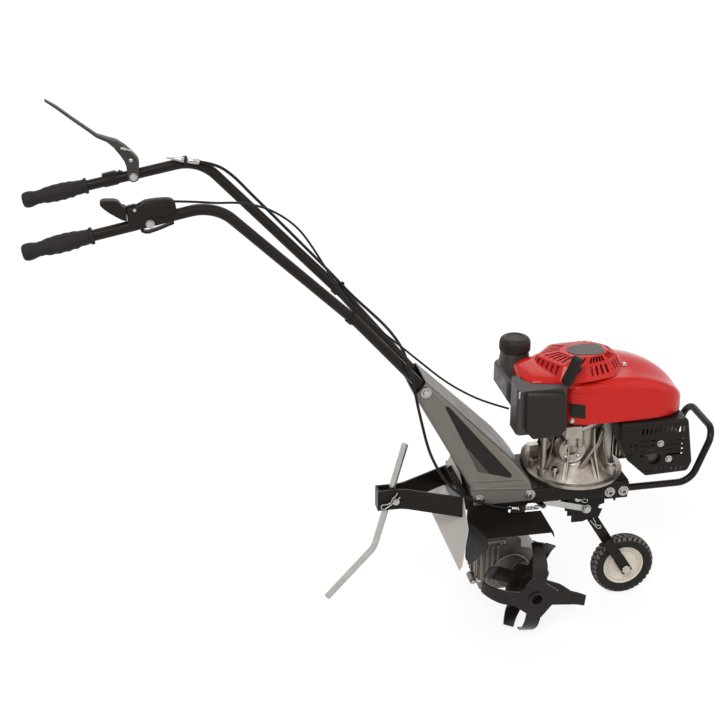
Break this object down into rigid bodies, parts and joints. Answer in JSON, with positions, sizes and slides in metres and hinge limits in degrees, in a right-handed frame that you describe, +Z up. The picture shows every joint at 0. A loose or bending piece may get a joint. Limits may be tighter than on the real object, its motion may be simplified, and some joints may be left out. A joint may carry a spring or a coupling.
{
  "type": "garden tiller",
  "caption": "Petrol garden tiller: bent-blade tine stars on a cross axle, front transport wheel on a folding leg, drag bar, bumper hoop and cranked handlebars with cable controls.",
  "frame": {"origin": "on the ground, in the middle of the machine's overall length and width", "axes": "+X forward, +Y to the operator's left, +Z up"},
  "size_m": [1.48, 0.3604, 1.2131],
  "materials": {
    "black_paint": "gloss",
    "grey_paint": "satin",
    "light_paint": "satin",
    "zinc": "satin",
    "dark_steel": "satin",
    "bronze": "satin",
    "cast_aluminium": "cast",
    "red_gloss": "gloss",
    "grey_plastic": "matte",
    "black_plastic": "matte",
    "cream_plastic": "matte",
    "rubber": "matte",
    "cable_sheath": "satin",
    "tyre": "matte"
  },
  "bodies": {
    "chassis": {"engine_deck": "black_paint", "handle_column": "grey_paint", "frame_bolts": "zinc", "bumper_bar": "black_paint", "wheel_bracket": "black_paint", "leg_pins": "zinc", "bracket_brace": "zinc", "drag_bracket": "black_paint", "drag_bar_pin": "zinc", "tine_guard_left": "black_paint", "tine_guard_right": "black_paint", "rear_guard": "light_paint", "gear_case_left": "cast_aluminium", "gear_case_right": "cast_aluminium", "axle_seals": "rubber", "crankcase": "cast_aluminium", "cylinder": "cast_aluminium", "carburettor": "cast_aluminium", "air_filter_case": "grey_plastic", "air_filter_cover": "black_plastic", "fuel_tank": "grey_plastic", "blower_housing": "red_gloss", "recoil_cover": "red_gloss", "muffler": "dark_steel", "muffler_guard": "black_paint", "engine_bolts": "zinc", "handlebar_left": "black_paint", "handlebar_right": "black_paint", "grip_left": "rubber", "grip_right": "rubber", "handlebar_bolts": "zinc", "cable_clips": "black_plastic", "throttle_housing": "black_plastic", "cable_adjusters": "zinc", "clutch_cable": "cable_sheath", "throttle_cable": "cable_sheath", "drive_belt": "rubber"},
    "tine_rotor": {"tine_axle": "dark_steel", "worm_wheel": "bronze", "tine_star_right_outer": "black_paint", "tine_star_right_inner": "black_paint", "tine_star_left_inner": "black_paint", "tine_star_left_outer": "black_paint", "tine_pins": "zinc"},
    "worm": {"worm_shaft": "dark_steel", "driven_pulley": "cast_aluminium"},
    "crank": {"crankshaft": "dark_steel", "flywheel": "cast_aluminium", "drive_pulley": "dark_steel"},
    "idler": {"idler_arm": "zinc"},
    "idler_roller": {"idler_pulley": "dark_steel"},
    "clutch_lever": {"clutch_lever": "black_plastic"},
    "throttle_lever": {"throttle_lever": "black_plastic"},
    "leg": {"wheel_leg": "black_paint", "wheel_axle_bolt": "zinc"},
    "front_wheel": {"front_rim": "cream_plastic", "front_tyre": "tyre"},
    "drag_bar": {"drag_bar": "zinc"},
    "starter": {"starter_handle": "black_plastic"},
    "fuel_cap": {"fuel_cap": "black_plastic"}
  },
  "joints": [
    {"name": "clutch_squeeze", "type": "hinge", "parent": "chassis", "child": "clutch_lever", "pos_m": [-0.50884, 0.15327, 1.04692], "axis": [0, -1, 0], "range_deg": [0, 42], "stiffness_Nm_per_rad": 1.2, "springref_deg": -40.11},
    {"name": "idler_swing", "type": "hinge", "parent": "chassis", "child": "idler", "pos_m": [0.312, 0.012, 0.304], "axis": [0, 0, -1], "range_deg": [0, 11.7]},
    {"name": "idler_spin", "type": "hinge", "parent": "idler", "child": "idler_roller", "pos_m": [0.352, -0.013, 0.328], "axis": [0, 0, 1], "continuous": true},
    {"name": "throttle_turn", "type": "hinge", "parent": "chassis", "child": "throttle_lever", "pos_m": [-0.524, -0.15307, 1.076], "axis": [0, 1, 0], "range_deg": [0, 50]},
    {"name": "tine_spin", "type": "hinge", "parent": "chassis", "child": "tine_rotor", "pos_m": [0.306, 0, 0.114], "axis": [0, 1, 0], "continuous": true},
    {"name": "worm_spin", "type": "hinge", "parent": "chassis", "child": "worm", "pos_m": [0.24, 0, 0.2], "axis": [0, 0, 1], "continuous": true},
    {"name": "crank_spin", "type": "hinge", "parent": "chassis", "child": "crank", "pos_m": [0.431, 0, 0.4], "axis": [0, 0, 1], "continuous": true},
    {"name": "leg_fold", "type": "hinge", "parent": "chassis", "child": "leg", "pos_m": [0.464, 0, 0.243], "axis": [0, -1, 0], "range_deg": [0, 62]},
    {"name": "wheel_spin", "type": "hinge", "parent": "leg", "child": "front_wheel", "pos_m": [0.568, 0, 0.075], "axis": [0, 1, 0], "continuous": true},
    {"name": "drag_slide", "type": "slide", "parent": "chassis", "child": "drag_bar", "axis": [-0.2602, 0, -0.9655], "range_m": [-0.06, 0.06]},
    {"name": "starter_pull", "type": "slide", "parent": "chassis", "child": "starter", "axis": [-0.6206, -0.7607, 0.1902], "range_m": [0, 0.1], "stiffness_N_per_m": 40, "springref_m": -0.1},
    {"name": "cap_turn", "type": "hinge", "parent": "chassis", "child": "fuel_cap", "pos_m": [0.303, 0.068, 0.63], "axis": [0, 0, 1], "range_deg": [0, 90]}
  ],
  "couplings": [
    {"joint": "idler_swing", "follows": "clutch_squeeze", "ratio": 0.27857},
    {"joint": "worm_spin", "follows": "tine_spin", "ratio": 24}
  ]
}
